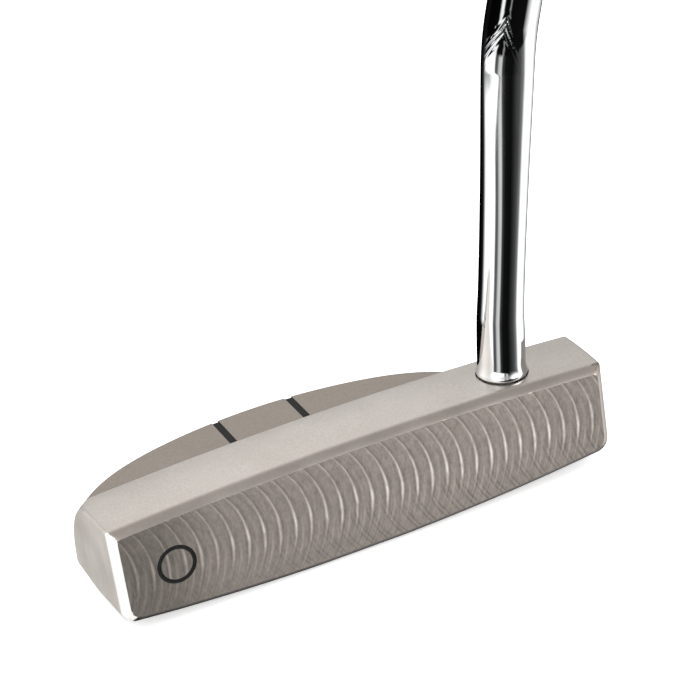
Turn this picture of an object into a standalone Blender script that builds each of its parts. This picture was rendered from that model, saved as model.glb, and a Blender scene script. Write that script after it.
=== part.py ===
"""A heel-shafted putter: milled steel head with a half-moon flange, double-bend steel shaft and rubber grip.

Frame: +Z up, +X towards the heel and the player, -Y towards the target. The origin is on the sole's flat,
under the middle of the bar. Driving dimensions are in millimetres; the meshes are built in metres.
"""

import math

import bmesh
import bpy
from mathutils import Matrix, Vector

MM = 0.001

# Head: the straight bar behind the face
HALF_LENGTH = 56.0  # half of the heel-to-toe length
FACE_Y = -12.0  # leading edge, where the lofted face meets z = 0
BAR_BACK_Y = 5.3
LOFT = math.radians(3.0)
CROWN_X, CROWN_TOP, CROWN_DROP = -1.4, 25.35, 0.583e-3  # topline: height and its fall per mm squared
SOLE_X, SOLE_RISE = -2.7, 0.97e-3  # sole: where it is lowest and its rise per mm squared
SOLE_FLAT = 9.0  # half-width of the flat at the middle of the sole
FACE_EDGE = ((1.8, 0.0), (1.5, 0.12), (1.1, 0.42), (0.45, 1.05), (0.12, 1.5), (0.0, 2.0))  # see bar_rings
TOE_DRAFT, TOE_DRAFT_REACH = 0.8, 12.0  # the toe is this much shorter at the face, over this length
TOE_DRAFT_Y = 1.0  # where that draft starts
LOWER_CORNER = 3.0
UPPER_CORNER = 0.7
CORNER_EASE = 0.2  # how much a corner's radius changes for each mm that the outline is set in
BACK_FILLET = 0.6
TOP_BULGE = 0.25  # how much the topline rises from the bar's front and back edges to its middle
TOE_BACK_CUT = (2.7, 2.95)  # the bar's back toe corner, cut back along X and Y

# Head: the half-moon flange behind the bar
FLANGE_X = -12.15  # its plane of symmetry
FLANGE_TOP = 23.7
FLANGE_BACK_Y = 17.5  # the furthest point of its top outline
OUTLINE_REACH = 40.0  # the outline falls by the sum of the next three this far from the symmetry plane
OUTLINE_FALL = (8.8, -1.8, 4.2)  # the parts that grow with the square, fourth and sixth power
OUTLINE_HALF_SPAN = 44.0
FLANGE_FRONT_Y = 0.0  # the hidden front of the flange, inside the bar
BACK_RADIUS, BACK_WIDEST_Z, RIM_RADIUS = 26.0, 5.0, 5.0  # the back wall's curve above and below its widest
TOP_EDGE = 0.35  # the chamfer around the flange's top

# Grooves that hold paint
SIGHT_LINE_X = (-20.7, -4.0)
SIGHT_LINE_WIDTH, SIGHT_LINE_DEPTH = 1.5, 0.6
SIGHT_LINE_START = 0.3  # the grooves start this far behind the bar
MARK_X, MARK_Z, MARK_RADIUS, MARK_STROKE, MARK_DEPTH = -42.6, 12.6, 4.2, 0.9, 0.5
PAINT_GAP = 0.15

# Cutting shapes reach this far past what they cut
CUTTER_REACH = 8.0
CUTTER_END_Y = 45.0
ENVELOPE_FRONT_Y = 2.0  # inside the bar, behind its draft at the toe

# Shaft
TIP_RADIUS = 4.8
BUTT_RADIUS = 7.35
WALL = 0.55  # of the tube
SOCKET_X, SOCKET_Y, SOCKET_DEPTH = 36.35, -2.6, 17.5
SOCKET_GAP = 0.6  # between the shaft's end and the bore's floor
TIP_LEAN, LOWER_LEAN, MIDDLE_LEAN, LIE_LEAN = (math.radians(a) for a in (4.5, 7.5, 3.0, 20.0))
MIDDLE_FORWARD = math.radians(20.0)
TIP_SET = 13.0  # above the head, where the tip's lean becomes the lower shaft's
FIRST_BEND = 59.5  # above the tip's set, along the lower shaft
OFFSET_Y = -17.0  # the upper shaft's axis: one shaft in front of the face
BEND_RADIUS = 32.0
BUTT_Z = 806.0
TAPER_START, TAPER_END = 190.0, 720.0  # along the shaft, above the head
FLARE_RADIUS, FLARE_START, FLARE_END = 5.3, 2.6, 0.6  # a small concave flare just above the head
FLARE_STEP = 0.3  # below the flare the tube returns to its plain radius over this length
BOND_INNER, BOND_OUTER = 4.92, 5.15
BORE_RADIUS = 5.3
COUNTERSINK_RADIUS, COUNTERSINK_DEPTH = 5.6, 0.8

# Grip
GRIP_LENGTH = 266.0
GRIP_SIDE, GRIP_SIDE_SWELL = 9.4, 3.9  # half-widths at the mouth, and how much they grow up to the butt
GRIP_FRONT, GRIP_FRONT_SWELL = 9.0, 2.3
GRIP_BACK, GRIP_BACK_SWELL = 9.6, 3.2
PALM_SWELL, PALM_PLACE, PALM_SPREAD = 3.4, 0.86, 0.16  # the bulge on the back, at a share of the length
SIDE_POWER, FRONT_FLATTENING = 0.8, 0.62  # below 1 they square the section's sides and flatten its front
MOUTH = ((0.0, -1.4), (0.7, -0.4), (2.5, 0.0))  # rolled mouth: distance from the end, growth
GRIP_GAP = 0.15
TAPE_THICKNESS = 0.3
TAPE_LENGTH = 250.0
CAP_THICKNESS = 4.0
CAP_EDGE = ((0.0, 0.0), (0.55, 0.0), (0.85, -0.9), (1.0, -2.6))  # share of the cap's thickness, growth
CAP_GAP = 0.3  # between the shaft's end and the cap
CAP_DOME = 0.3  # the cap's rise from its edge to its vent
VENT_RADIUS = 1.2
SECTION_POINTS = 32


def scene_is_cleared():
    for old in list(bpy.data.objects):
        bpy.data.objects.remove(old)


def material(name, color, roughness, metallic):
    """A Principled material with one colour, roughness and metallic value."""
    made = bpy.data.materials.new(name)
    made.use_nodes = True
    shader = made.node_tree.nodes["Principled BSDF"]
    shader.inputs["Base Color"].default_value = (*color, 1.0)
    shader.inputs["Roughness"].default_value = roughness
    shader.inputs["Metallic"].default_value = metallic
    return made


def object_from(bm, name, finish=None, smooth=True):
    """A bmesh in millimetres, scaled to metres and linked to the scene as a named object."""
    bmesh.ops.scale(bm, vec=(MM, MM, MM), verts=bm.verts)
    bmesh.ops.recalc_face_normals(bm, faces=bm.faces)
    mesh = bpy.data.meshes.new(name)
    bm.to_mesh(mesh)
    bm.free()
    if smooth:
        mesh.shade_smooth()
        mesh.set_sharp_from_angle(angle=math.radians(35.0))
    made = bpy.data.objects.new(name, mesh)
    bpy.context.scene.collection.objects.link(made)
    if finish:
        mesh.materials.append(finish)
    return made


def boolean(target, other, operation):
    """Unites another shape with the target, or cuts it away, and hides the other shape."""
    other.hide_render = True
    other.display_type = "WIRE"
    modifier = target.modifiers.new(other.name, "BOOLEAN")
    modifier.operation = operation
    modifier.solver = "EXACT"
    modifier.object = other
    other.hide_set(True)


def lofted(bm, rings, around=False):
    """Joins rings of points with quads. around joins the last ring to the first, for a bored shape."""
    loops = [[bm.verts.new(point) for point in ring] for ring in rings]
    count = len(loops[0])
    pairs = list(zip(loops, loops[1:]))
    if around:
        pairs.append((loops[-1], loops[0]))
    for lower, upper in pairs:
        for i in range(count):
            j = (i + 1) % count
            bm.faces.new((lower[i], lower[j], upper[j], upper[i]))
    if not around:
        bm.faces.new(reversed(loops[0]))
        bm.faces.new(loops[-1])


def sole_height(x):
    """The sole's camber from toe to heel, with a flat at its middle."""
    away = max(0.0, abs(x - SOLE_X) - SOLE_FLAT)
    return SOLE_RISE * away * (away + 2.0 * SOLE_FLAT)


def top_height(x, drop=0.0):
    return CROWN_TOP - CROWN_DROP * (x - CROWN_X) ** 2 - drop


def corner_arc(x, z, radius, start, steps):
    """Points of a quarter circle about (x, z), turning anticlockwise from the start angle."""
    for i in range(steps + 1):
        angle = start + 0.5 * math.pi * i / steps
        yield x + radius * math.cos(angle), z + radius * math.sin(angle)


def bar_profile(inset=0.0, drop=0.0, steps=26):
    """The bar's outline seen from the front, as (x, z) points, anticlockwise from the lower toe corner."""
    half = HALF_LENGTH - inset
    low_r = LOWER_CORNER - CORNER_EASE * inset
    top_r = UPPER_CORNER + CORNER_EASE * inset
    points = []
    low = sole_height(-half + low_r) + inset
    points += corner_arc(-half + low_r, low + low_r, low_r, math.pi, 6)
    span = 2.0 * (half - low_r)
    for i in range(1, steps):
        x = -half + low_r + span * i / steps
        points.append((x, sole_height(x) + inset))
    low = sole_height(half - low_r) + inset
    points += corner_arc(half - low_r, low + low_r, low_r, 1.5 * math.pi, 6)
    high = top_height(half - top_r, drop) - inset
    points += corner_arc(half - top_r, high - top_r, top_r, 0.0, 3)
    span = 2.0 * (half - top_r)
    for i in range(1, steps):
        x = half - top_r - span * i / steps
        points.append((x, top_height(x, drop) - inset))
    high = top_height(-half + top_r, drop) - inset
    points += corner_arc(-half + top_r, high - top_r, top_r, 0.5 * math.pi, 3)
    return points


def bulge_drop(share):
    """The topline's fall (negative for a rise) at a share of the bar's thickness from front to back."""
    return -TOP_BULGE * (1.0 - (2.0 * share - 1.0) ** 2)


def toe_draft(x, y):
    """How far a point near the toe moves in, growing from inside the bar to its face."""
    forward = max(0.0, TOE_DRAFT_Y - y) / (TOE_DRAFT_Y - FACE_Y)
    outward = max(0.0, 1.0 - (x + HALF_LENGTH) / TOE_DRAFT_REACH)
    return TOE_DRAFT * forward * outward


def bar_ring(y, loft, outline):
    """An outline placed at y, leaning back by a share of the loft."""
    lean = loft * math.tan(LOFT)
    return [(x + toe_draft(x, y), y + lean * z, z) for x, z in outline]


def bar_rings():
    """The bar's outlines from the face to the back.

    Its front edge is a softened chamfer, listed in FACE_EDGE as how far the outline is set in, and how
    far behind the face. Its back edge is a small fillet."""
    rings = [
        bar_ring(FACE_Y + back, 1.0, bar_profile(inset, bulge_drop(0.0))) for inset, back in FACE_EDGE
    ]
    front = FACE_Y + FACE_EDGE[-1][1]
    for share in (0.25, 0.5, 0.75):
        y = front + share * (BAR_BACK_Y - BACK_FILLET - front)
        rings.append(bar_ring(y, 1.0 - share, bar_profile(0.0, bulge_drop(share))))
    for i in range(4):
        angle = 0.5 * math.pi * i / 3
        inset = BACK_FILLET * (1.0 - math.cos(angle))
        y = BAR_BACK_Y - BACK_FILLET * (1.0 - math.sin(angle))
        rings.append(bar_ring(y, 0.0, bar_profile(inset, bulge_drop(1.0))))
    return rings


def back_spread(z):
    """How far the flange's back wall stands out from its top outline at a height."""
    rise = FLANGE_TOP - BACK_WIDEST_Z
    most = BACK_RADIUS - math.sqrt(BACK_RADIUS**2 - rise**2)
    radius = BACK_RADIUS if z >= BACK_WIDEST_Z else RIM_RADIUS
    away = min(abs(z - BACK_WIDEST_Z), radius)
    return most - radius + math.sqrt(radius**2 - away**2)


def outline_y(x):
    """The back of the flange's top outline at x."""
    share = (x - FLANGE_X) / OUTLINE_REACH
    fall = sum(part * share ** (2 * i + 2) for i, part in enumerate(OUTLINE_FALL))
    return FLANGE_BACK_Y - fall


def outline_slope(x):
    share = (x - FLANGE_X) / OUTLINE_REACH
    powers = ((2 * i + 2, part) for i, part in enumerate(OUTLINE_FALL))
    return -sum(n * part * share ** (n - 1) for n, part in powers) / OUTLINE_REACH


def flange_outline(spread, steps=40):
    """The half-moon seen from above, grown by a spread, as (x, y) points closed by its hidden front."""
    points = []
    for i in range(steps + 1):
        x = FLANGE_X + OUTLINE_HALF_SPAN * (1.0 - 2.0 * i / steps)
        across = math.hypot(1.0, outline_slope(x))
        points.append((x - spread * outline_slope(x) / across, outline_y(x) + spread / across))
    run = outline_slope(FLANGE_X - OUTLINE_HALF_SPAN)
    first_x, first_y = points[0]
    last_x, last_y = points[-1]
    points.insert(0, (first_x + (first_y - FLANGE_FRONT_Y) / run, FLANGE_FRONT_Y))
    points.append((last_x - (last_y - FLANGE_FRONT_Y) / run, FLANGE_FRONT_Y))
    return points


def flange_solid():
    """The flange before its sole and toe end are cut: outlines stacked from below the sole to its top."""
    levels = [(-1.0, back_spread(0.0))]
    low = BACK_WIDEST_Z - RIM_RADIUS
    heights = [low + RIM_RADIUS * (1.0 - math.cos(0.5 * math.pi * i / 5)) for i in range(6)]
    top = FLANGE_TOP - TOP_EDGE
    heights += [BACK_WIDEST_Z + (top - BACK_WIDEST_Z) * i / 7 for i in range(1, 8)]
    levels += [(z, back_spread(z)) for z in heights]
    levels.append((FLANGE_TOP, back_spread(top) - TOP_EDGE))
    bm = bmesh.new()
    lofted(bm, [[(x, y, z) for x, y in flange_outline(spread)] for z, spread in levels])
    return object_from(bm, "flange_blank")


def envelope():
    """The bar's outline run far back: it gives the flange the sole's camber and the toe's flat end."""
    clear = FLANGE_TOP + CUTTER_REACH
    tall = [(x, z if z < 0.5 * FLANGE_TOP else clear) for x, z in bar_profile()]
    bm = bmesh.new()
    lofted(bm, [[(x, y, z) for x, z in tall] for y in (ENVELOPE_FRONT_Y, CUTTER_END_Y)])
    return object_from(bm, "envelope")


def wedge_cutter():
    """Takes off the bar's back toe corner above the flange."""
    along_x, along_y = TOE_BACK_CUT
    corner = Vector((-HALF_LENGTH, BAR_BACK_Y))
    near = corner + Vector((0.0, -along_y))
    side = corner + Vector((along_x, 0.0))
    out = Vector((-along_y, along_x)).normalized() * CUTTER_REACH
    over = (side - near).normalized() * 3.0
    outline = [near - over, side + over, side + over + out, near - over + out]
    levels = (FLANGE_TOP - 2.0, FLANGE_TOP + CUTTER_REACH)
    bm = bmesh.new()
    lofted(bm, [[(p.x, p.y, z) for p in outline] for z in levels])
    return object_from(bm, "toe_corner_cut")


def direction(heelward, forward):
    return Vector((math.tan(heelward), -math.tan(forward), 1.0)).normalized()


def shaft_foot():
    """The point where the shaft's axis meets the topline."""
    return Vector((SOCKET_X, SOCKET_Y, top_height(SOCKET_X) + TOP_BULGE))


def shaft_corners():
    """The corners of the shaft's axis before its bends are rounded, from inside the head to the butt."""
    foot = shaft_foot()
    tip, lower, upper = (direction(lean, 0.0) for lean in (TIP_LEAN, LOWER_LEAN, LIE_LEAN))
    middle = direction(MIDDLE_LEAN, MIDDLE_FORWARD)
    bottom = foot - tip * (SOCKET_DEPTH - SOCKET_GAP)
    slight = foot + tip * TIP_SET
    first = slight + lower * FIRST_BEND
    second = first + middle * ((OFFSET_Y - first.y) / middle.y)
    butt = second + upper * ((BUTT_Z - second.z) / upper.z)
    return [bottom, slight, first, second, butt]


def shaft_path():
    """Points and directions along the axis, with each bend as an arc, and the distance above the head."""
    corners = shaft_corners()
    ways = [(b - a).normalized() for a, b in zip(corners, corners[1:])]
    stations = [(corners[0], ways[0])]
    for corner, before, after in zip(corners[1:], ways, ways[1:]):
        angle = before.angle(after)
        reach = BEND_RADIUS * math.tan(0.5 * angle)
        centre = corner + (after - before).normalized() * BEND_RADIUS / math.cos(0.5 * angle)
        axis = before.cross(after).normalized()
        start = corner - before * reach
        for i in range(9):
            turn = Matrix.Rotation(angle * i / 8, 3, axis)
            stations.append((centre + turn @ (start - centre), turn @ before))
    stations.append((corners[-1], ways[-1]))
    return stations


def shaft_stations():
    """The path with rings added for the flare and the taper, each with its distance above the head."""
    path = shaft_path()
    foot = shaft_foot()
    first_way = path[0][1]
    extra = (FLARE_END - FLARE_STEP, FLARE_END, 0.5 * (FLARE_START + FLARE_END), FLARE_START)
    listed = [(path[0][0], first_way, SOCKET_GAP - SOCKET_DEPTH)]
    listed += [(foot + first_way * s, first_way, s) for s in extra]
    reached = FLARE_START
    previous = foot + first_way * FLARE_START
    for point, way in path[1:]:
        reached += (point - previous).length
        listed.append((point, way, reached))
        previous = point
    last_point, last_way, last_s = listed.pop()
    bend_point, _, bend_s = listed[-1]
    for s in (TAPER_START, TAPER_END, last_s):
        listed.append((bend_point + last_way * (s - bend_s), last_way, s))
    return listed


def shaft_radius(s):
    """The outer radius at a distance above the head."""
    if s < FLARE_END:
        return TIP_RADIUS
    if s < FLARE_START:
        share = (FLARE_START - s) / (FLARE_START - FLARE_END)
        return TIP_RADIUS + (FLARE_RADIUS - TIP_RADIUS) * share**2
    share = min(max((s - TAPER_START) / (TAPER_END - TAPER_START), 0.0), 1.0)
    return TIP_RADIUS + (BUTT_RADIUS - TIP_RADIUS) * share


def ring(centre, way, radius, count=24):
    """A circle of points about a centre, square to a direction, starting at its -Y side."""
    across = Vector((0.0, 1.0, 0.0)).cross(way).normalized()
    ahead = way.cross(across)
    angles = circle_angles(count)
    return [centre + radius * (math.cos(a) * across + math.sin(a) * ahead) for a in angles]


def tube(name, stations, finish):
    """A tube from (centre, direction, outer radius, inner radius) stations, open at both ends."""
    bm = bmesh.new()
    outer = [ring(p, way, big) for p, way, big, _ in stations]
    inner = [ring(p, way, small) for p, way, _, small in stations]
    lofted(bm, outer + inner[::-1], around=True)
    return object_from(bm, name, finish)


def circle_angles(count=SECTION_POINTS):
    return [2.0 * math.pi * i / count for i in range(count)]


def grip_outline(share, grow=0.0):
    """The grip's section at a share of its length from mouth to butt, as (side, front) points.

    Side runs along the target line and front faces the thumbs, where the grip is flat."""
    swell = share * share * (3.0 - 2.0 * share)
    half_side = GRIP_SIDE + GRIP_SIDE_SWELL * swell + grow
    front = GRIP_FRONT + GRIP_FRONT_SWELL * swell + grow
    palm = PALM_SWELL * math.exp(-(((share - PALM_PLACE) / PALM_SPREAD) ** 2))
    back = GRIP_BACK + GRIP_BACK_SWELL * swell + palm + grow
    points = []
    for angle in circle_angles():
        side = half_side * math.copysign(abs(math.cos(angle)) ** SIDE_POWER, math.cos(angle))
        rise = math.sin(angle)
        if rise > 0.0:
            points.append((side, front * rise ** (1.0 - FRONT_FLATTENING * swell)))
        else:
            points.append((side, back * rise))
    return points


def butt_frame():
    """The upper shaft's top point, its direction, and the grip's side and front directions."""
    *_, butt = shaft_corners()
    way = direction(LIE_LEAN, 0.0)
    side = Vector((0.0, 1.0, 0.0))
    front = side.cross(way).normalized()
    return butt, way, side, -front if front.x > 0.0 else front


def grip_ring(s, outline):
    """Cross-section points placed at a distance down from the shaft's butt."""
    butt, way, side, front = butt_frame()
    centre = butt - way * s
    return [centre + side * a + front * b for a, b in outline]


def bored_radius(s):
    """The grip's inner radius at a distance down from the butt."""
    total = shaft_stations()[-1][2]
    return shaft_radius(total - s) + 2.0 * GRIP_GAP + TAPE_THICKNESS


def head(steel):
    bm = bmesh.new()
    lofted(bm, bar_rings())
    made = object_from(bm, "putter_head", steel)
    boolean(made, wedge_cutter(), "DIFFERENCE")
    flange = flange_solid()
    boolean(flange, envelope(), "INTERSECT")
    boolean(made, flange, "UNION")
    for i, x in enumerate(SIGHT_LINE_X):
        boolean(made, sight_slot(x, f"sight_slot_{i}"), "DIFFERENCE")
    boolean(made, mark_ring("mark_slot", PAINT_GAP, MARK_DEPTH), "DIFFERENCE")
    boolean(made, bore_cutter(), "DIFFERENCE")
    return made


def box_object(name, low, high, finish=None):
    bm = bmesh.new()
    corners = [(low[0], low[1]), (high[0], low[1]), (high[0], high[1]), (low[0], high[1])]
    lofted(bm, [[(x, y, z) for x, y in corners] for z in (low[2], high[2])])
    return object_from(bm, name, finish, smooth=False)


def sight_slot(x, name):
    half = 0.5 * SIGHT_LINE_WIDTH + PAINT_GAP
    low = (x - half, BAR_BACK_Y + SIGHT_LINE_START, FLANGE_TOP - SIGHT_LINE_DEPTH)
    return box_object(name, low, (x + half, CUTTER_END_Y, FLANGE_TOP + CUTTER_REACH))


def sight_line(x, name, paint):
    """Paint in one groove, ending just inside the flange's outline."""
    half = 0.5 * SIGHT_LINE_WIDTH
    outer = x + math.copysign(half, x - FLANGE_X)
    start = BAR_BACK_Y + SIGHT_LINE_START + PAINT_GAP
    low = (x - half, start, FLANGE_TOP - SIGHT_LINE_DEPTH + PAINT_GAP)
    return box_object(name, low, (x + half, outline_y(outer) - TOP_EDGE, FLANGE_TOP), paint)


def face_point(x, z, depth):
    """A point at a depth behind the lofted face, measured square to it."""
    y = FACE_Y + z * math.tan(LOFT)
    return Vector((x, y + depth * math.cos(LOFT), z - depth * math.sin(LOFT)))


def mark_ring(name, grow, depth, finish=None, front=-2.0):
    """A flat ring in the face: the groove when it grows, or the paint in it."""
    outer = MARK_RADIUS + grow
    inner = MARK_RADIUS - MARK_STROKE - grow
    bm = bmesh.new()
    rings = []
    for radius, back in ((outer, front), (outer, depth), (inner, depth), (inner, front)):
        angles = circle_angles(40)
        spots = ((MARK_X + radius * math.cos(a), MARK_Z + radius * math.sin(a)) for a in angles)
        rings.append([face_point(x, z, back) for x, z in spots])
    lofted(bm, rings, around=True)
    return object_from(bm, name, finish)


def bore_cutter():
    """The blind bore for the shaft with a small countersink at its mouth."""
    foot = shaft_foot()
    way = direction(TIP_LEAN, 0.0)
    grow = (COUNTERSINK_RADIUS - BORE_RADIUS) / COUNTERSINK_DEPTH
    above = 3.0
    rings = [
        ring(foot - way * SOCKET_DEPTH, way, BORE_RADIUS),
        ring(foot - way * COUNTERSINK_DEPTH, way, BORE_RADIUS),
        ring(foot + way * above, way, COUNTERSINK_RADIUS + grow * above),
    ]
    bm = bmesh.new()
    lofted(bm, rings)
    return object_from(bm, "bore")


def shaft(chrome):
    listed = shaft_stations()
    stations = [(p, way, shaft_radius(s), TIP_RADIUS - WALL) for p, way, s in listed[:-3]]
    stations += [(p, way, shaft_radius(s), shaft_radius(s) - WALL) for p, way, s in listed[-3:]]
    return tube("shaft", stations, chrome)


def epoxy_bond(glue):
    """The adhesive between the shaft's tip and the bore, from near the bore's floor to the countersink."""
    foot = shaft_foot()
    way = direction(TIP_LEAN, 0.0)
    spans = (-(SOCKET_DEPTH - 1.0), -1.0)
    return tube("epoxy_bond", [(foot + way * s, way, BOND_OUTER, BOND_INNER) for s in spans], glue)


def grip_tape(cloth):
    butt, way, _, _ = butt_frame()
    total = shaft_stations()[-1][2]
    stations = []
    for s in (TAPE_LENGTH, total - TAPER_END, 1.0):
        inner = shaft_radius(total - s) + GRIP_GAP
        stations.append((butt - way * s, way, inner + TAPE_THICKNESS, inner))
    return tube("grip_tape", stations, cloth)


def grip(rubber):
    """The grip: a flat-fronted body, rolled in at its mouth, bored for the shaft and its tape."""
    steps = 16
    outer = [grip_ring(GRIP_LENGTH - s, grip_outline(0.0, grow)) for s, grow in MOUTH]
    body = GRIP_LENGTH - MOUTH[-1][0]
    for i in range(1, steps + 1):
        share = i / steps
        outer.append(grip_ring(body * (1.0 - share), grip_outline(share)))
    inner = []
    for s in (0.0, shaft_stations()[-1][2] - TAPER_END, GRIP_LENGTH):
        radius = bored_radius(s)
        spots = [(radius * math.cos(a), radius * math.sin(a)) for a in circle_angles()]
        inner.append(grip_ring(s, spots))
    bm = bmesh.new()
    lofted(bm, outer + inner, around=True)
    return object_from(bm, "grip", rubber)


def grip_cap(rubber):
    """The domed cap on the butt, with a vent hole through it."""
    levels = [(CAP_GAP + share * CAP_THICKNESS, grow) for share, grow in CAP_EDGE]
    outer = [grip_ring(-s, grip_outline(1.0, grow)) for s, grow in levels]
    vent = [(VENT_RADIUS * math.cos(a), VENT_RADIUS * math.sin(a)) for a in circle_angles()]
    inner = [grip_ring(-(CAP_GAP + CAP_THICKNESS + CAP_DOME), vent), grip_ring(-CAP_GAP, vent)]
    bm = bmesh.new()
    lofted(bm, outer + inner, around=True)
    return object_from(bm, "grip_cap", rubber)


def main():
    scene_is_cleared()
    steel = material("milled_steel", (0.52, 0.49, 0.46), 0.34, 1.0)
    chrome = material("shaft_chrome", (0.86, 0.87, 0.88), 0.06, 1.0)
    paint = material("black_paint", (0.015, 0.015, 0.015), 0.45, 0.0)
    glue = material("epoxy", (0.09, 0.08, 0.06), 0.35, 0.0)
    cloth = material("grip_tape", (0.72, 0.68, 0.58), 0.8, 0.0)
    rubber = material("grip_rubber", (0.02, 0.02, 0.022), 0.62, 0.0)
    head(steel)
    for x, name in zip(SIGHT_LINE_X, ("sight_line_toe", "sight_line_heel")):
        sight_line(x, name, paint)
    mark_ring("face_mark", 0.0, MARK_DEPTH - PAINT_GAP, paint, front=0.05)
    shaft(chrome)
    epoxy_bond(glue)
    grip_tape(cloth)
    grip(rubber)
    grip_cap(rubber)


main()
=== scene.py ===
import math

import bmesh
import bpy
from mathutils import Matrix, Quaternion, Vector


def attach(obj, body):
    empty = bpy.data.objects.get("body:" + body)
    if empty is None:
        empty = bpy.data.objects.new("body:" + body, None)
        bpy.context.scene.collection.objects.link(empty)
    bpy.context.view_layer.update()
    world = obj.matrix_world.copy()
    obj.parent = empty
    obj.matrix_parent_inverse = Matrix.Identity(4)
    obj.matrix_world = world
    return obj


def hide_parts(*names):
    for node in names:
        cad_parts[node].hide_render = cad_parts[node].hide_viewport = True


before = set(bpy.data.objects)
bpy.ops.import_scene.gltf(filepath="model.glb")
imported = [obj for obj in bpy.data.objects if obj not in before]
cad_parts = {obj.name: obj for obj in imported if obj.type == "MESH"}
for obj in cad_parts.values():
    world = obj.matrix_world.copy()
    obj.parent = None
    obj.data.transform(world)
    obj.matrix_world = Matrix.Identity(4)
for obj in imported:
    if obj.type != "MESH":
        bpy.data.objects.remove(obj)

# The putter's looks. Shapes are worked out in millimetres in the CAD's frame (+Z up, +X towards the heel,
# -Y towards the target) and scaled to metres when each mesh is made.
MM = 0.001

# Head, as in the CAD
HALF_LENGTH = 56.0
FACE_Y, BAR_BACK_Y = -12.0, 5.3
LOFT = math.radians(3.0)
CROWN_X, CROWN_TOP, CROWN_DROP = -1.4, 25.35, 0.583e-3
SOLE_X, SOLE_RISE, SOLE_FLAT = -2.7, 0.97e-3, 9.0
LOWER_CORNER, UPPER_CORNER, BACK_FILLET = 3.0, 0.7, 0.5
FACE_EDGE = ((1.8, 0.0), (1.66, 0.02), (1.5, 0.12), (1.1, 0.42), (0.78, 0.73), (0.45, 1.05), (0.26, 1.27),
             (0.12, 1.5), (0.03, 1.76), (0.0, 2.0))
TOE_DRAFT, TOE_DRAFT_REACH, TOE_DRAFT_Y = 0.8, 12.0, 1.0
TOP_BULGE = 0.25
TOE_BACK_CUT = (2.7, 2.95)  # the facet at the toe's back corner: along the bar, and across it
FLANGE_X, FLANGE_TOP, FLANGE_BACK_Y = -12.15, 23.7, 17.5
OUTLINE_REACH, OUTLINE_FALL, OUTLINE_HALF_SPAN = 40.0, (8.8, -1.8, 4.2), 44.0
FLANGE_FRONT_Y = 0.0
BACK_RADIUS, BACK_WIDEST_Z, RIM_RADIUS, TOP_EDGE = 26.0, 5.0, 5.0, 0.35
SIGHT_LINE_X, SIGHT_LINE_WIDTH, SIGHT_LINE_DEPTH, SIGHT_LINE_START = (-20.7, -4.0), 1.5, 0.5, 0.3
MARK_X, MARK_Z, MARK_RADIUS, MARK_STROKE, MARK_DEPTH = -42.6, 12.6, 4.2, 0.9, 0.4
PAINT_GAP, PAINT_BELOW = 0.05, 0.06  # round the paint in its groove, and how far it lies under the flange
ABOVE_ALL = 30.0  # over the whole head, for cutting tools

# The fly cutter that faced the head: one arc for each turn, bulging towards the heel
CUT_RADIUS, CUT_PITCH, CUT_PHASE, CUT_Z = 17.5, 3.438, -16.9, 12.9
CUT_DEPTH, CUT_SKIM = 0.03, 0.02  # the arc's own depth, and how far the whole face lies under the CAD's
CUT_PROFILE = ((-0.45, 0.0), (-0.25, 0.35), (-0.08, 0.85), (0.05, 1.0), (0.2, 0.6), (0.4, 0.0))
CUT_REST = (0.85, 1.4, 2.0, 2.5)  # plain columns between two arcs
REST_RIPPLE = 0.004  # every other plain column is this much deeper
CUT_SPAN_X, CUT_SPAN_Z, CUT_ROWS = (-62.0, 70.0), (-3.0, 28.2), 52  # the milled surface, larger than the face

# Shaft, as in the CAD
TIP_RADIUS, BUTT_RADIUS, WALL = 4.8, 7.35, 0.55
SOCKET_X, SOCKET_Y, SOCKET_DEPTH, SOCKET_GAP = 36.35, -2.6, 17.5, 0.6
TIP_LEAN, LOWER_LEAN, MIDDLE_LEAN, LIE_LEAN = (math.radians(a) for a in (4.5, 7.5, 3.0, 20.0))
MIDDLE_FORWARD = math.radians(20.0)
TIP_SET, FIRST_BEND, OFFSET_Y, BEND_RADIUS, BUTT_Z = 13.0, 59.5, -17.0, 32.0, 806.0
TAPER_START, TAPER_END = 190.0, 720.0
BORE_RADIUS, COUNTERSINK_RADIUS, COUNTERSINK_DEPTH = 5.3, 5.6, 0.8
GRIP_LENGTH, GRIP_GAP, TAPE_THICKNESS, CAP_THICKNESS, VENT_RADIUS = 266.0, 0.15, 0.3, 4.0, 1.2

# The shaft's mesh: its sides, its rings' distance along it and near the foot, and where the foot ends
SHAFT_SIDES, LONG_STEP, FOOT_STEP, FOOT_END = 144, 4.0, 0.5, 5.0
# How much the tube is wider and shallower at a bend, and how far that reaches
SQUEEZE_WIDE, SQUEEZE_DEEP, SQUEEZE_SPREAD = 0.17, -0.05, 26.0
# The outside just above the head, by distance from it: a slight swell, a flare and a lip
SWELL, SWELL_SPAN, TIP_TRIM = 0.3, (5.0, 21.0), 0.03
FLARE, FLARE_TOP = 0.43, 3.2
LIP_RADIUS, LIP_SLOPE, LIP_SPAN = 5.5, 0.4, (0.1, 0.5)

# The grip's section at its mouth, and what it gains up to the butt: half its side, its flat front, its back
GRIP_SIDE, GRIP_FRONT, GRIP_BACK = (9.4, 3.9), (9.0, 2.3), (9.6, 3.2)
PALM_SWELL, PALM_PLACE, PALM_SPREAD = 3.4, 0.86, 0.16
SIDE_SQUARENESS, FRONT_FLATNESS = 0.8, 0.62

# The small peaks pressed into the inner side of the shaft's first bend
PUCKER_WAY = Vector((-0.72, -0.69, 0.0)).normalized()
PUCKER_SIZE, PUCKER_PITCH, PUCKER_STEEP, PUCKER_PLACE = 0.11, 2.1, 2.6, 7.0
PUCKER_SPREAD, PUCKER_WIDTH, PUCKER_REACH, PUCKER_STEP = 2.4, 2.8, 22.0, 0.28

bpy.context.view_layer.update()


# ---------------------------------------------------------------- meshes


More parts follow.
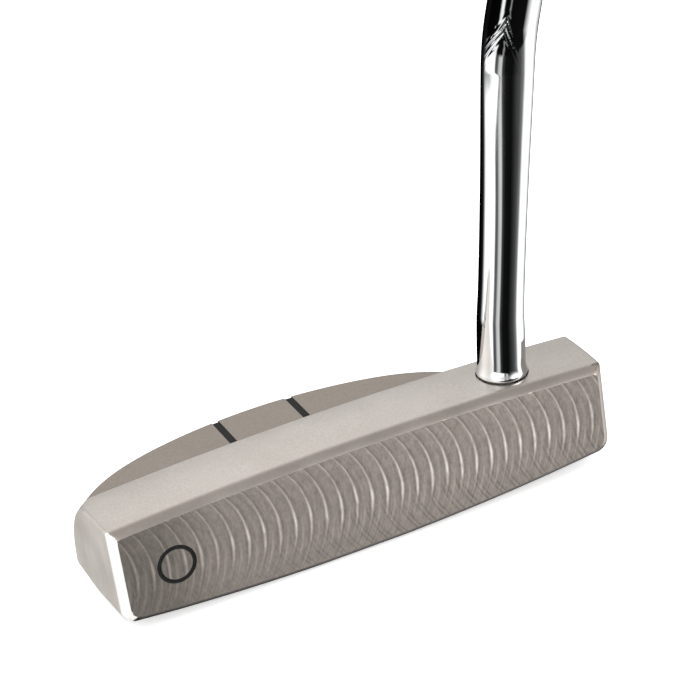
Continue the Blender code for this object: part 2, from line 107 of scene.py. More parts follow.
def mesh_object(bm, name, sharp=30.0):
    """A bmesh in millimetres as a smooth-shaded object in metres."""
    bmesh.ops.scale(bm, vec=(MM, MM, MM), verts=bm.verts)
    bmesh.ops.recalc_face_normals(bm, faces=bm.faces)
    mesh = bpy.data.meshes.new(name)
    bm.to_mesh(mesh)
    bm.free()
    mesh.shade_smooth()
    mesh.set_sharp_from_angle(angle=math.radians(sharp))
    made = bpy.data.objects.new(name, mesh)
    bpy.context.scene.collection.objects.link(made)
    return made


def lofted(bm, rings, around=False):
    """Joins rings of points with quads. around joins the last ring to the first."""
    loops = [[bm.verts.new(point) for point in ring] for ring in rings]
    count = len(loops[0])
    pairs = list(zip(loops, loops[1:]))
    if around:
        pairs.append((loops[-1], loops[0]))
    for lower, upper in pairs:
        for i in range(count):
            j = (i + 1) % count
            bm.faces.new((lower[i], lower[j], upper[j], upper[i]))
    if not around:
        bm.faces.new(loops[0][::-1])
        bm.faces.new(loops[-1])


def lofted_object(name, rings, around=False):
    bm = bmesh.new()
    lofted(bm, rings, around)
    return mesh_object(bm, name)


def circle(radius, count):
    angles = (2.0 * math.pi * i / count for i in range(count))
    return [(radius * math.cos(angle), radius * math.sin(angle)) for angle in angles]


def combine(target, other, operation):
    """Applies a boolean and removes the other object."""
    modifier = target.modifiers.new("combine", "BOOLEAN")
    modifier.operation = operation
    modifier.solver = "MANIFOLD"
    modifier.object = other
    graph = bpy.context.evaluated_depsgraph_get()
    made = bpy.data.meshes.new_from_object(target.evaluated_get(graph), depsgraph=graph)
    target.modifiers.remove(modifier)
    target.data = made
    bpy.data.objects.remove(other)


def finish_normals(obj, sharp):
    """Smooth shading that keeps creases and lets the large faces set the normals."""
    obj.data.shade_smooth()
    obj.data.set_sharp_from_angle(angle=math.radians(sharp))
    weighted = obj.modifiers.new("weighted normals", "WEIGHTED_NORMAL")
    weighted.keep_sharp = True
    weighted.weight = 80


# ---------------------------------------------------------------- head


def sole_height(x):
    """The camber: flat in the middle, then rising to both sides."""
    away = max(0.0, abs(x - SOLE_X) - SOLE_FLAT)
    return SOLE_RISE * away * (away + 2.0 * SOLE_FLAT)


def top_height(x, rise=0.0):
    return CROWN_TOP - CROWN_DROP * (x - CROWN_X) ** 2 + rise


def corner_arc(x, z, radius, start, steps):
    """Points of a quarter circle in the bar's outline."""
    for i in range(steps + 1):
        angle = start + 0.5 * math.pi * i / steps
        yield x + radius * math.cos(angle), z + radius * math.sin(angle)


def bar_profile(inset=0.0, rise=0.0, steps=90):
    """The bar's outline seen from the front, as (x, z) points, anticlockwise from the lower toe corner."""
    half = HALF_LENGTH - inset
    low_r = LOWER_CORNER - 0.2 * inset
    top_r = UPPER_CORNER + 0.2 * inset
    points = []
    low_steps, top_steps = 12, 6
    low = sole_height(-half + low_r) + inset
    points += corner_arc(-half + low_r, low + low_r, low_r, math.pi, low_steps)
    span = 2.0 * (half - low_r)
    points += [
        (x, sole_height(x) + inset)
        for x in (-half + low_r + span * i / steps for i in range(1, steps))
    ]
    low = sole_height(half - low_r) + inset
    points += corner_arc(half - low_r, low + low_r, low_r, 1.5 * math.pi, low_steps)
    high = top_height(half - top_r, rise) - inset
    points += corner_arc(half - top_r, high - top_r, top_r, 0.0, top_steps)
    span = 2.0 * (half - top_r)
    points += [
        (x, top_height(x, rise) - inset)
        for x in (half - top_r - span * i / steps for i in range(1, steps))
    ]
    high = top_height(-half + top_r, rise) - inset
    points += corner_arc(-half + top_r, high - top_r, top_r, 0.5 * math.pi, top_steps)
    return points


def bulge(share):
    """How far the topline rises across the bar."""
    return TOP_BULGE * (1.0 - (2.0 * share - 1.0) ** 2)


def bar_ring(y, loft, outline):
    """An outline placed at y, leaning back by a share of the loft and drawn in a little at the toe."""
    lean = loft * math.tan(LOFT)
    draft = TOE_DRAFT * max(0.0, TOE_DRAFT_Y - y) / (TOE_DRAFT_Y - FACE_Y)

    def drawn_in(x):
        return x + draft * max(0.0, 1.0 - (x + HALF_LENGTH) / TOE_DRAFT_REACH)

    return [(drawn_in(x), y + lean * z, z) for x, z in outline]


def bar():
    """The bar from face to back: a softened chamfer, a topline slightly rounded across, and a fillet."""
    rings = [bar_ring(FACE_Y + back, 1.0, bar_profile(inset)) for inset, back in FACE_EDGE]
    front = FACE_Y + FACE_EDGE[-1][1]
    steps = 12
    for i in range(1, steps):
        share = i / steps
        y = front + share * (BAR_BACK_Y - BACK_FILLET - front)
        rings.append(bar_ring(y, 1.0 - share, bar_profile(0.0, bulge(share))))
    turns = 5
    for i in range(turns + 1):
        angle = 0.5 * math.pi * i / turns
        inset = BACK_FILLET * (1.0 - math.cos(angle))
        y = BAR_BACK_Y - BACK_FILLET * (1.0 - math.sin(angle))
        rings.append(bar_ring(y, 0.0, bar_profile(inset)))
    return lofted_object("putter_head_milled", rings)


def cut_arc(z):
    """How far an arc of the cutter lies from its own furthest point, at a height."""
    return math.sqrt(CUT_RADIUS**2 - (z - CUT_Z) ** 2) - CUT_RADIUS


def faced_block():
    """A block whose front is the milled face: its columns follow the cutter's arcs."""
    low_z, high_z = CUT_SPAN_Z
    heights = [low_z + (high_z - low_z) * j / CUT_ROWS for j in range(CUT_ROWS + 1)]
    columns = []
    first, last = (round((x - CUT_PHASE - CUT_RADIUS) / CUT_PITCH) for x in CUT_SPAN_X)
    for turn in range(first, last + 1):
        crest = CUT_PHASE + CUT_RADIUS + turn * CUT_PITCH
        columns += [(crest + offset, CUT_DEPTH * share) for offset, share in CUT_PROFILE]
        columns += [(crest + offset, REST_RIPPLE * (k % 2)) for k, offset in enumerate(CUT_REST)]
    bm = bmesh.new()
    grid = []
    for u, depth in columns:
        column = []
        for z in heights:
            y = FACE_Y + z * math.tan(LOFT) + CUT_SKIM + depth
            column.append(bm.verts.new((u + cut_arc(z), y, z)))
        grid.append(column)
    for left, right in zip(grid, grid[1:]):
        for j in range(CUT_ROWS):
            bm.faces.new((left[j], right[j], right[j + 1], left[j + 1]))
    around = [column[0] for column in grid] + grid[-1][1:]
    around += [column[-1] for column in grid[-2::-1]] + grid[0][-2:0:-1]
    back = [bm.verts.new((v.co.x, 20.0, v.co.z)) for v in around]
    for i in range(len(around)):
        j = (i + 1) % len(around)
        bm.faces.new((around[j], around[i], back[i], back[j]))
    bm.faces.new(back)
    return mesh_object(bm, "faced_block")


def back_spread(z):
    """How far the rounded back stands out from the flange's top outline, at a height."""
    rise = FLANGE_TOP - BACK_WIDEST_Z
    most = BACK_RADIUS - math.sqrt(BACK_RADIUS**2 - rise**2)
    radius = BACK_RADIUS if z >= BACK_WIDEST_Z else RIM_RADIUS
    away = min(abs(z - BACK_WIDEST_Z), radius)
    return most - radius + math.sqrt(radius**2 - away**2)


def outline_y(x):
    """The flange's back edge seen from above."""
    share = (x - FLANGE_X) / OUTLINE_REACH
    fall = sum(part * share ** (2 * i + 2) for i, part in enumerate(OUTLINE_FALL))
    return FLANGE_BACK_Y - fall


def outline_slope(x):
    share = (x - FLANGE_X) / OUTLINE_REACH
    powers = ((2 * i + 2, part) for i, part in enumerate(OUTLINE_FALL))
    return -sum(n * part * share ** (n - 1) for n, part in powers) / OUTLINE_REACH


def flange_outline(spread, steps=130):
    """The half moon grown by a spread, closed by straight lines to the bar."""
    points = []
    for i in range(steps + 1):
        x = FLANGE_X + OUTLINE_HALF_SPAN * (1.0 - 2.0 * i / steps)
        across = math.hypot(1.0, outline_slope(x))
        points.append((x - spread * outline_slope(x) / across, outline_y(x) + spread / across))
    run = outline_slope(FLANGE_X - OUTLINE_HALF_SPAN)
    first_x, first_y = points[0]
    last_x, last_y = points[-1]
    points.insert(0, (first_x + (first_y - FLANGE_FRONT_Y) / run, FLANGE_FRONT_Y))
    points.append((last_x - (last_y - FLANGE_FRONT_Y) / run, FLANGE_FRONT_Y))
    return points


def flange():
    """The half-moon flange: a rounded back, a small top edge and the bar's sole and ends."""
    levels = [(-1.0, back_spread(0.0))]
    rim_steps, back_steps, edge_steps = 12, 20, 4
    low = BACK_WIDEST_Z - RIM_RADIUS
    turns = (0.5 * math.pi * i / rim_steps for i in range(rim_steps + 1))
    heights = [low + RIM_RADIUS * (1.0 - math.cos(turn)) for turn in turns]
    top = FLANGE_TOP - TOP_EDGE
    rise = top - BACK_WIDEST_Z
    heights += [BACK_WIDEST_Z + rise * i / back_steps for i in range(1, back_steps + 1)]
    levels += [(z, back_spread(z)) for z in heights]
    for i in range(1, edge_steps + 1):
        angle = 0.5 * math.pi * i / edge_steps
        spread = back_spread(top) - TOP_EDGE * (1.0 - math.cos(angle))
        levels.append((top + TOP_EDGE * math.sin(angle), spread))
    rings = [[(x, y, z) for x, y in flange_outline(spread)] for z, spread in levels]
    made = lofted_object("flange_blank", rings)
    # The bar's sole and ends, carried back; its topline is lifted out of the way
    half_height, behind_all = 15.0, 45.0
    sole = [(x, z if z < half_height else ABOVE_ALL) for x, z in bar_profile()]
    rings = [[(x, y, z) for x, z in sole] for y in (FLANGE_FRONT_Y + 2.0, behind_all)]
    combine(made, lofted_object("envelope", rings), "INTERSECT")
    return made


def wedge():
    """What the toe's back corner loses above the flange."""
    along_x, along_y = TOE_BACK_CUT
    corner = Vector((-HALF_LENGTH, BAR_BACK_Y))
    near = corner + Vector((0.0, -along_y))
    side = corner + Vector((along_x, 0.0))
    out = Vector((-along_y, along_x)).normalized() * 8.0
    over = (side - near).normalized() * 3.0
    outline = [near - over, side + over, side + over + out, near - over + out]
    rings = [[(p.x, p.y, z) for p in outline] for z in (FLANGE_TOP - 2.0, ABOVE_ALL)]
    return lofted_object("wedge", rings)


def sight_box(x, grow, top):
    """One sight line's groove, or the paint in it: long, narrow and open at the flange's back."""
    half = 0.5 * SIGHT_LINE_WIDTH + grow
    start = BAR_BACK_Y + SIGHT_LINE_START - grow
    outer = x + math.copysign(half, x - FLANGE_X)
    end = 40.0 if grow > 0.0 else outline_y(outer) - TOP_EDGE
    bottom = FLANGE_TOP - SIGHT_LINE_DEPTH - grow
    corners = [(x - half, start), (x + half, start), (x + half, end), (x - half, end)]
    return lofted_object("sight_box", [[(a, b, z) for a, b in corners] for z in (bottom, top)])


def face_point(x, z, depth):
    """A point under the face, square to it."""
    y = FACE_Y + z * math.tan(LOFT)
    return Vector((x, y + depth * math.cos(LOFT), z - depth * math.sin(LOFT)))


def mark_rings(grow, profile, count=96):
    """Circles for a ring in the face. profile gives (share across the stroke, depth)."""
    outer = MARK_RADIUS + grow
    width = MARK_STROKE + 2.0 * grow
    rings = []
    for share, depth in profile:
        spots = circle(outer - width * share, count)
        rings.append([face_point(MARK_X + a, MARK_Z + b, depth) for a, b in spots])
    return rings


def shaft_ring(centre, way, radius, count=96, wide=1.0, deep=1.0):
    """A ring square to a direction; wide stretches it heel to toe and deep along the target line."""
    across = Vector((0.0, 1.0, 0.0)).cross(way).normalized()
    ahead = way.cross(across)
    return [centre + wide * a * across + deep * b * ahead for a, b in circle(radius, count)]


def direction(heelward, forward):
    return Vector((math.tan(heelward), -math.tan(forward), 1.0)).normalized()


def shaft_foot():
    """Where the shaft's axis meets the topline."""
    return Vector((SOCKET_X, SOCKET_Y, top_height(SOCKET_X) + TOP_BULGE))


def bore():
    """What the shaft's bore and its countersink take out of the head."""
    foot = shaft_foot()
    way = direction(TIP_LEAN, 0.0)
    grow = (COUNTERSINK_RADIUS - BORE_RADIUS) / COUNTERSINK_DEPTH
    above = 3.0
    rings = [
        shaft_ring(foot - way * SOCKET_DEPTH, way, BORE_RADIUS),
        shaft_ring(foot - way * COUNTERSINK_DEPTH, way, BORE_RADIUS),
        shaft_ring(foot + way * above, way, COUNTERSINK_RADIUS + grow * above),
    ]
    return lofted_object("bore", rings)


def head(materials):
    made = bar()
    combine(made, wedge(), "DIFFERENCE")
    combine(made, faced_block(), "INTERSECT")
    combine(made, flange(), "UNION")
    for x in SIGHT_LINE_X:
        combine(made, sight_box(x, PAINT_GAP, ABOVE_ALL), "DIFFERENCE")
    groove = ((0.0, -2.0), (0.06, MARK_DEPTH), (0.94, MARK_DEPTH), (1.0, -2.0))
    rings = mark_rings(PAINT_GAP, groove)
    combine(made, lofted_object("mark_groove", rings, around=True), "DIFFERENCE")
    combine(made, bore(), "DIFFERENCE")
    made.data.materials.clear()
    for finish in materials:
        made.data.materials.append(finish)
    for polygon in made.data.polygons:
        polygon.material_index = head_look_by_facing(polygon.center / MM, polygon.normal)
    finish_normals(made, 24.0)
    return made


# The head's materials, in order: the bar's steel and the milled face, then copies of the steel whose tones
# are painted light and shade
BAR, FACE, FLANGE_SHADE, TOE_END_LIGHT, TOE_BEVEL_HIGHLIGHT, CHAMFER_SHADE, SOLE_BEVEL_SHADE = range(7)
FACE_SKIN, CHAMFER_REACH = 0.2, 2.2  # how far behind the face each may lie


def head_look_by_facing(spot, normal):
    """Which material a polygon of the head has, by where it lies and which way it faces. Besides the bar and
    the face, these materials are copies of the steel whose tones are painted light and shade.
    """
    behind_face = spot.y - FACE_Y - spot.z * math.tan(LOFT)
    if behind_face < FACE_SKIN and normal.y < -0.9:
        return FACE
    # The toe's bevel gets a near-white copy of the steel: painted highlight
    if spot.x < 4.0 - HALF_LENGTH and normal.x < -0.3 and normal.y < -0.25:
        return TOE_BEVEL_HIGHLIGHT
    # The toe end gets a lighter, half-metallic copy of the steel: painted light
    if spot.x < 2.0 - HALF_LENGTH and normal.x < -0.85:
        return TOE_END_LIGHT
    # The chamfer round the face gets a browner copy of the steel: painted shade
    if behind_face < CHAMFER_REACH and normal.y < -0.25:
        # Chamfer faces turned down, on the sole's bevel, get a near-black copy of the steel: painted shade
        if normal.z < -0.3:
            return SOLE_BEVEL_SHADE
        # The heel's corner of the chamfer takes the flange's painted shade
        shaded_heel_corner = spot.x > HALF_LENGTH - 2.1 and normal.z > 0.05 and normal.x > 0.05
        return FLANGE_SHADE if shaded_heel_corner else CHAMFER_SHADE
    # Behind the bar the flange gets a darker copy of the steel as painted shade; the rest is the bar's steel
    return FLANGE_SHADE if spot.y > BAR_BACK_Y - 0.02 else BAR


# ---------------------------------------------------------------- shaft and grip


def smooth_step(value, start, end):
    share = min(max((value - start) / (end - start), 0.0), 1.0)
    return share * share * (3.0 - 2.0 * share)


def shaft_corners():
    """The axis as straight lines: its bottom, the slight bend, the two bends and the butt."""
    foot = shaft_foot()
    tip, lower, upper = (direction(lean, 0.0) for lean in (TIP_LEAN, LOWER_LEAN, LIE_LEAN))
    middle = direction(MIDDLE_LEAN, MIDDLE_FORWARD)
    bottom = foot - tip * (SOCKET_DEPTH - SOCKET_GAP)
    slight = foot + tip * TIP_SET
    first = slight + lower * FIRST_BEND
    second = first + middle * ((OFFSET_Y - first.y) / middle.y)
    butt = second + upper * ((BUTT_Z - second.z) / upper.z)
    return [bottom, slight, first, second, butt]


def shaft_path():
    """Close-set (point, direction, distance above the head) along the axis, with its bends as arcs."""
    corners = shaft_corners()
    ways = [(b - a).normalized() for a, b in zip(corners, corners[1:])]
    first_bend = TIP_SET + FIRST_BEND
    pieces = []
    start = corners[0]
    for corner, before, after in zip(corners[1:], ways, ways[1:]):
        angle = before.angle(after)
        reach = BEND_RADIUS * math.tan(0.5 * angle)
        pieces.append(("line", start, corner - before * reach, before))
        centre = corner + (after - before).normalized() * BEND_RADIUS / math.cos(0.5 * angle)
        pieces.append(("arc", centre, corner - before * reach, before, before.cross(after), angle))
        start = corner + after * reach
    pieces.append(("line", start, corners[-1], ways[-1]))
    listed = []
    s = SOCKET_GAP - SOCKET_DEPTH
    for piece in pieces:
        if piece[0] == "line":
            _, begin, end, way = piece
            length = (end - begin).length
            along = 0.0
            while along < length - 0.1:
                listed.append((begin + way * along, way, s + along))
                if abs(s + along - first_bend) < PUCKER_REACH:
                    along += PUCKER_STEP
                else:
                    along += FOOT_STEP if s + along < FOOT_END else LONG_STEP
        else:
            _, centre, begin, way, axis, angle = piece
            length = BEND_RADIUS * angle
            count = max(2, round(length / PUCKER_STEP))
            for i in range(count):
                turn = Matrix.Rotation(angle * i / count, 3, axis.normalized())
                listed.append((centre + turn @ (begin - centre), turn @ way, s + length * i / count))
        s += length
    listed.append((corners[-1], ways[-1], s))
    return listed


def shaft_radius(s):
    """Outer radius: swollen a little at the head, with a flare and a lip at its foot, and tapered above."""
    lip_bottom, lip_top = LIP_SPAN
    radius = TIP_RADIUS - TIP_TRIM + SWELL * (1.0 - smooth_step(s, *SWELL_SPAN))
    if s < lip_bottom:
        radius = TIP_RADIUS
    elif s < lip_top:
        radius = LIP_RADIUS - LIP_SLOPE * (lip_top - s)
    elif s < FLARE_TOP:
        radius += FLARE * ((FLARE_TOP - s) / (FLARE_TOP - lip_top)) ** 2
    taper = min(max((s - TAPER_START) / (TAPER_END - TAPER_START), 0.0), 1.0)
    return radius + (BUTT_RADIUS - TIP_RADIUS) * taper


def bend_squeeze(s, bend_s):
    """1 at a bend, falling to 0 on both sides."""
    return math.exp(-(((s - bend_s) / SQUEEZE_SPREAD) ** 2))


def shaft(material):
    """The whole tube. Bending has flattened it a little and puckered its inner side."""
    listed = shaft_path()
    corners = shaft_corners()
    first_bend = TIP_SET + FIRST_BEND
    bends = (first_bend, first_bend + (corners[3] - corners[2]).length)
    outer = []
    for point, way, s in listed:
        squeeze = sum(bend_squeeze(s, b) for b in bends)
        wide, deep = 1.0 + SQUEEZE_WIDE * squeeze, 1.0 + SQUEEZE_DEEP * squeeze
        ring = shaft_ring(point, way, shaft_radius(s), SHAFT_SIDES, wide, deep)
        if abs(s - first_bend) < PUCKER_REACH:
            ring = [puckered(p, point, s - first_bend) for p in ring]
        outer.append(ring)
    # The wall inside has no flare or peaks, so fewer rings are enough
    inner = [
        shaft_ring(point, way, shaft_radius(max(s, 4.0)) - WALL, SHAFT_SIDES)
        for point, way, s in listed[::6] + listed[-1:]
    ]
    bm = bmesh.new()
    lofted(bm, outer + inner[::-1], around=True)
    made = mesh_object(bm, "shaft_chromed", sharp=40.0)
    made.data.materials.append(material)
    return made


def puckered(p, centre, s):
    """Moves a point in or out where the bend's inner side has puckered, in a few nested peaks."""
    out = (p - centre).normalized()
    facing = max(0.0, Vector((out.x, out.y, 0.0)).normalized().dot(PUCKER_WAY))
    aside = math.acos(min(1.0, facing)) * TIP_RADIUS
    along = s + PUCKER_STEEP * aside - PUCKER_PLACE
    size = PUCKER_SIZE * math.exp(-((along / PUCKER_SPREAD) ** 2) - (aside / PUCKER_WIDTH) ** 4)
    return p + out * size * math.cos(2.0 * math.pi * along / PUCKER_PITCH)


def grip_outline(share, grow, count):
    """The grip's section at a share of its length from mouth to butt, as (side, front) points."""
    swell = smooth_step(share, 0.0, 1.0)
    sizes = (GRIP_SIDE, GRIP_FRONT, GRIP_BACK)
    half_side, front, back = (start + gain * swell + grow for start, gain in sizes)
    back += PALM_SWELL * math.exp(-(((share - PALM_PLACE) / PALM_SPREAD) ** 2))
    points = []
    for i in range(count):
        angle = 2.0 * math.pi * i / count
        side = half_side * math.copysign(abs(math.cos(angle)) ** SIDE_SQUARENESS, math.cos(angle))
        rise = math.sin(angle)
        if rise > 0.0:
            points.append((side, front * rise ** (1.0 - FRONT_FLATNESS * swell)))
        else:
            points.append((side, back * rise))
    return points


def grip_ring(s, outline):
    """A grip outline placed at a distance below the shaft's butt."""
    butt = shaft_corners()[-1]
    way = direction(LIE_LEAN, 0.0)
    side = Vector((0.0, 1.0, 0.0))
    front = side.cross(way).normalized()
    front = -front if front.x > 0.0 else front
    centre = butt - way * s
    return [centre + side * a + front * b for a, b in outline]


def grip(material):
    """The moulded grip: rolled mouth, three rings above it, and rows of shallow dimples."""
    count, steps = 120, 420
    outer = []
    for s, grow in ((GRIP_LENGTH, -1.4), (GRIP_LENGTH - 0.25, -0.8), (GRIP_LENGTH - 0.9, -0.25)):
        outer.append(grip_ring(s, grip_outline(0.0, grow, count)))
    body = GRIP_LENGTH - 2.0
    for i in range(steps + 1):
        share = i / steps
        s = body * (1.0 - share)
        outline = grip_outline(share, 0.0, count)
        outer.append(grip_ring(s, [grooved(point, k, s) for k, point in enumerate(outline)]))
    inner = []
    total = shaft_path()[-1][2]
    for s in (0.0, 90.0, 180.0, GRIP_LENGTH):
        radius = shaft_radius(total - s) + 2.0 * GRIP_GAP + TAPE_THICKNESS
        inner.append(grip_ring(s, circle(radius, count)))
    bm = bmesh.new()
    lofted(bm, outer + inner, around=True)
    made = mesh_object(bm, "grip_moulded", sharp=50.0)
    made.data.materials.append(material)
    return made


# Grooves round the grip, three near its mouth and one near its butt, and staggered dimples between them
RING_PLACES = (GRIP_LENGTH - 9.0, GRIP_LENGTH - 12.5, GRIP_LENGTH - 16.0, 8.0)
RING_DEPTH, RING_SPREAD = 0.35, 0.7
DIMPLES_FROM, DIMPLES_TO = 14.0, GRIP_LENGTH - 24.0
DIMPLE_PITCH, DIMPLE_SIDES, DIMPLE_SIZE, DIMPLE_DEPTH = 3.8, 5.0, 0.34, 0.3


def grooved(point, k, s):
    """The grip's point k of its outline, sunk where a ring or a dimple is."""
    side, front = point
    sink = 0.0
    for ring_s in RING_PLACES:
        sink = max(sink, RING_DEPTH * math.exp(-(((s - ring_s) / RING_SPREAD) ** 2)))
    if DIMPLES_FROM < s < DIMPLES_TO:
        along = s / DIMPLE_PITCH
        row = k / DIMPLE_SIDES + 0.5 * (math.floor(along) % 2)
        near = math.hypot(along - math.floor(along) - 0.5, row - round(row))
        sink = max(sink, DIMPLE_DEPTH * max(0.0, 1.0 - (near / DIMPLE_SIZE) ** 2))
    scale = 1.0 - sink / math.hypot(side, front)
    return side * scale, front * scale


def grip_cap(material):
    """The butt cap: a shallow dome with a ring groove round its vent."""
    low, count, edge_steps, drawn_in = 0.3, 120, 7, 2.6
    shoulder, crown = low + 0.5 * CAP_THICKNESS, 0.15
    levels = [(low, -0.15), (low + 0.2, 0.0), (shoulder, 0.0)]
    for i in range(1, edge_steps + 1):
        angle = 0.5 * math.pi * i / edge_steps
        rise = 0.5 * CAP_THICKNESS * math.sin(angle)
        levels.append((shoulder + rise, -drawn_in * (1.0 - math.cos(angle))))
    outer = [grip_ring(-s, grip_outline(1.0, grow, count)) for s, grow in levels]
    top = low + CAP_THICKNESS
    for share, rise in ((0.62, 0.05), (0.56, -0.3), (0.5, -0.3), (0.46, 0.06), (0.3, crown), (0.2, crown)):
        outline = [(a * share, b * share) for a, b in grip_outline(1.0, -drawn_in, count)]
        outer.append(grip_ring(-(top + rise), outline))
    vent = circle(VENT_RADIUS, count)
    inner = [grip_ring(-(top + crown), vent), grip_ring(-low, vent)]
    bm = bmesh.new()
    lofted(bm, outer + inner, around=True)
    made = mesh_object(bm, "grip_cap_moulded", sharp=50.0)
    made.data.materials.append(material)
    return made


def sight_paint(x, name, material):
    made = sight_box(x, 0.0, FLANGE_TOP - PAINT_BELOW)
    made.name = name
    made.data.materials.append(material)
    return made


def mark_paint(material):
    """The painted ring, a little hollow across its stroke as paint in a groove dries."""
    depth = MARK_DEPTH - PAINT_GAP
    steps, edge, hollow = 8, CUT_SKIM + 0.05, 0.07
    surface = [(i / steps, edge + hollow * math.sin(math.pi * i / steps)) for i in range(steps + 1)]
    profile = [(0.0, depth)] + surface + [(1.0, depth)]
    bm = bmesh.new()
    lofted(bm, mark_rings(0.0, profile), around=True)
    made = mesh_object(bm, "face_mark_paint", sharp=40.0)
    made.data.materials.append(material)
    return made


# ---------------------------------------------------------------- materials


class Nodes:
    """A node tree with short ways to add and join nodes."""

    def __init__(self, tree):
        self.tree = tree

    def add(self, kind, inputs=(), **settings):
        node = self.tree.nodes.new(kind)
        for key, value in settings.items():
            setattr(node, key, value)
        for key, value in dict(inputs).items():
            if isinstance(value, bpy.types.NodeSocket):
                self.tree.links.new(value, node.inputs[key])
            else:
                node.inputs[key].default_value = value
        return node

    def math(self, operation, a, b=0.0, c=0.0):
        return self.add("ShaderNodeMath", {0: a, 1: b, 2: c}, operation=operation).outputs[0]

    def position(self):
        return self.add("ShaderNodeTexCoord").outputs["Object"]

    def span(self, value, start, end, low, high):
        """A value from start to end as one from low to high, held at both."""
        inputs = {0: value, 1: start, 2: end, 3: low, 4: high}
        return self.add("ShaderNodeMapRange", inputs).outputs[0]

    def split(self, vector):
        node = self.add("ShaderNodeSeparateXYZ", {0: vector})
        return node.outputs["X"], node.outputs["Y"], node.outputs["Z"]

    def noise_at(self, vector, detail):
        inputs = {"Vector": vector, "Scale": 1.0, "Detail": detail, "Roughness": 0.6}
        return self.add("ShaderNodeTexNoise", inputs).outputs["Fac"]

    def noise(self, scale, detail=3.0, turn=0.0):
        """Noise by place on the object: scale in waves per metre on each axis, turned about Y."""
        inputs = {"Vector": self.position(), "Rotation": (0.0, turn, 0.0), "Scale": scale}
        mapped = self.add("ShaderNodeMapping", inputs).outputs["Vector"]
        return self.noise_at(mapped, detail)

    def ramp(self, value, stops):
        """A colour ramp; a stop is (place, grey) or (place, (red, green, blue))."""
        node = self.add("ShaderNodeValToRGB", {"Fac": value})
        elements = node.color_ramp.elements
        while len(elements) < len(stops):
            elements.new(0.5)
        for element, (at, color) in zip(elements, stops):
            element.position = at
            element.color = (*color, 1.0) if isinstance(color, tuple) else (color, color, color, 1.0)
        return node.outputs["Color"]

    def bump(self, height, distance, strength=1.0, normal=None):
        inputs = {"Height": height, "Distance": distance, "Strength": strength}
        if normal:
            inputs["Normal"] = normal
        return self.add("ShaderNodeBump", inputs).outputs["Normal"]


class Finish(Nodes):
    """A new material with a Principled shader."""

    def __init__(self, name):
        self.material = bpy.data.materials.new(name)
        self.material.use_nodes = True
        super().__init__(self.material.node_tree)
        self.shader = self.tree.nodes["Principled BSDF"]

    def set(self, **values):
        names = {"color": "Base Color", "normal": "Normal", "metallic": "Metallic", "roughness": "Roughness"}
        for key, value in values.items():
            socket = self.shader.inputs[names[key]]
            if isinstance(value, bpy.types.NodeSocket):
                self.tree.links.new(value, socket)
            else:
                socket.default_value = (*value, 1.0) if isinstance(value, tuple) else value
        return self.material


def satin_steel(name, dark, light, rough=(0.3, 0.42), metallic=1.0, brushed=(2600.0, 2600.0, 2600.0)):
    """Bead-blasted and lightly brushed plated steel. brushed is the grain's waves per metre."""
    n = Finish(name)
    cloud = n.noise((60.0, 90.0, 90.0), 4.0)
    grain = n.noise(brushed, 2.0)
    mixed = n.math("ADD", n.math("MULTIPLY", cloud, 0.55), n.math("MULTIPLY", grain, 0.45))
    color = n.ramp(mixed, ((0.35, dark), (0.65, light)))
    roughness = n.span(cloud, 0.3, 0.7, *rough)
    normal = n.bump(grain, 0.02 * MM, 0.5)
    return n.set(color=color, metallic=metallic, roughness=roughness, normal=normal)


# The milled face: its tone before any mark, how far the arcs wander from true, where each family of arcs has
# one of its arcs, and what each mark adds to the tone
FACE_TONE, ARC_WANDER, FACE_HEIGHT = 0.44, 0.25, 26.0
# The crescents and their echoes are painted highlights, and the flanks beside the crescents are painted shade
CRESCENT, ECHO, FAINT_ECHO = CUT_PHASE - 0.1, CUT_PHASE + 1.5, CUT_PHASE + 0.75
FLANK_BEFORE, FLANK_AFTER = CUT_PHASE - 0.72, CUT_PHASE + 0.65
RETURN_ARC, SECOND_RETURN = 2.04, 3.1
PAINTED_HIGHLIGHT_SHARE, ECHO_SHARE, DARK_SHARE, FLANK_SHADE_SHARE = 0.74, 0.15, -0.12, -0.09
SCRATCH_SHARE, PEBBLE_SHARE, STREAK_SHARE, RETURN_STREAK_SHARE = 0.1, 0.22, 0.3, 0.22
# Ramps by share of the face's height: the crescents' width, how strongly each mark shows. The crescents'
# painted highlight is strongest at mid height
CRESCENT_SWELL = ((0.15, 0.3), (0.35, 0.8), (0.5, 1.0), (0.62, 0.7), (0.8, 0.45), (1.0, 0.35))
CRESCENT_GLOW = ((0.2, 0.0), (0.3, 0.2), (0.4, 0.8), (0.5, 1.0), (0.62, 0.55), (0.75, 0.26), (0.9, 0.1))
ECHO_HEIGHT = ((0.12, 0.0), (0.24, 1.0), (0.38, 0.9), (0.5, 0.2), (0.7, 0.1))
RETURN_HEIGHT = ((0.0, 0.9), (0.2, 1.0), (0.36, 0.55), (0.46, 0.0))
# The face's painted light and shade from toe to heel, and its colour by tone
FACE_PAINTED_LIGHT = ((0.0, 0.5), (0.1, 0.53), (0.2, 0.77), (0.5, 0.81), (0.7, 0.82), (0.85, 0.78), (1.0, 0.69))
FACE_COLOR = ((0.0, (0.0, 0.0, 0.0)), (0.45, (0.45, 0.4, 0.36)), (1.0, (1.0, 0.95, 0.9)))


